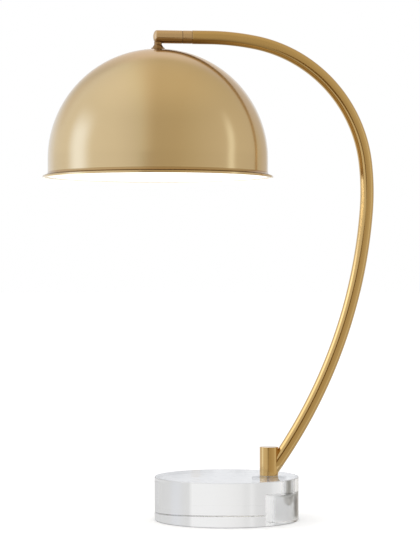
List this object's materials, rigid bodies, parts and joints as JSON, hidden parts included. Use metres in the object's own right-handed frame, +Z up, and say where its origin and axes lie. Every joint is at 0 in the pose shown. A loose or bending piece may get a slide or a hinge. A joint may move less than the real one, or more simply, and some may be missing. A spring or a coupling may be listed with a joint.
{
  "type": "table lamp",
  "caption": "Table lamp with a brass dome shade that swivels on a bent tube arm, standing on a post in a clear glass disc.",
  "frame": {"origin": "centre of the glass disc's underside, on the surface the lamp stands on", "axes": "+Z up; +X from the disc's centre towards the post, so that the shade hangs on the -X side; the arm lies in the XZ plane"},
  "size_m": [0.3931, 0.2706, 0.5761],
  "materials": {
    "crystal_glass": "clear optical glass, polished all over",
    "satin_brass": "satin, brushed round and clear lacquered",
    "warm_brass": "satin, brushed along and clear lacquered",
    "turned_brass": "bare turned brass",
    "zinc_steel": "bright zinc plate",
    "black_rubber": "matt",
    "clear_gasket": "translucent",
    "brown_fibre": "matt vulcanised fibre",
    "black_phenolic": "moulded, semi gloss",
    "lead_sheath": "silicone sheath",
    "bulb_white": "moulded white",
    "bulb_frost": "frosted inside, lit warm white",
    "bulb_shell": "rolled nickel-plated shell",
    "black_glass": "black glass insulator"
  },
  "bodies": {
    "stand": {"base_disc": "crystal_glass", "post": "warm_brass", "arm_tube": "warm_brass", "arm_collar": "warm_brass", "post_gasket": "clear_gasket", "clamp_pad": "black_rubber", "lead_grommet": "black_rubber", "clamp_washer": "zinc_steel", "spring_ring": "zinc_steel", "clamp_nut": "zinc_steel", "post_stud": "zinc_steel", "stop_pin": "zinc_steel", "friction_disc": "brown_fibre", "arm_lead": "lead_sheath"},
    "head": {"head_barrel": "warm_brass", "head_bush": "turned_brass", "lock_nut": "zinc_steel", "swivel_spindle": "zinc_steel", "spring_washer": "zinc_steel", "swivel_nut": "zinc_steel", "neck_bell": "satin_brass", "hollow_nipple": "zinc_steel", "shade": "satin_brass", "shade_washer": "zinc_steel", "shade_nut": "zinc_steel", "holder_cap": "turned_brass", "holder_body": "black_phenolic", "screw_shell": "turned_brass", "centre_contact": "turned_brass", "bulb_cap": "bulb_shell", "bulb_insulator": "black_glass", "bulb_contact": "turned_brass", "bulb_body": "bulb_white", "bulb_globe": "bulb_frost", "head_lead": "lead_sheath"}
  },
  "joints": [
    {"name": "head_swivel", "type": "hinge", "parent": "stand", "child": "head", "pos_m": [-0.05246, 0, 0.56811], "axis": [1, 0, 0], "range_deg": [-90, 90]}
  ]
}
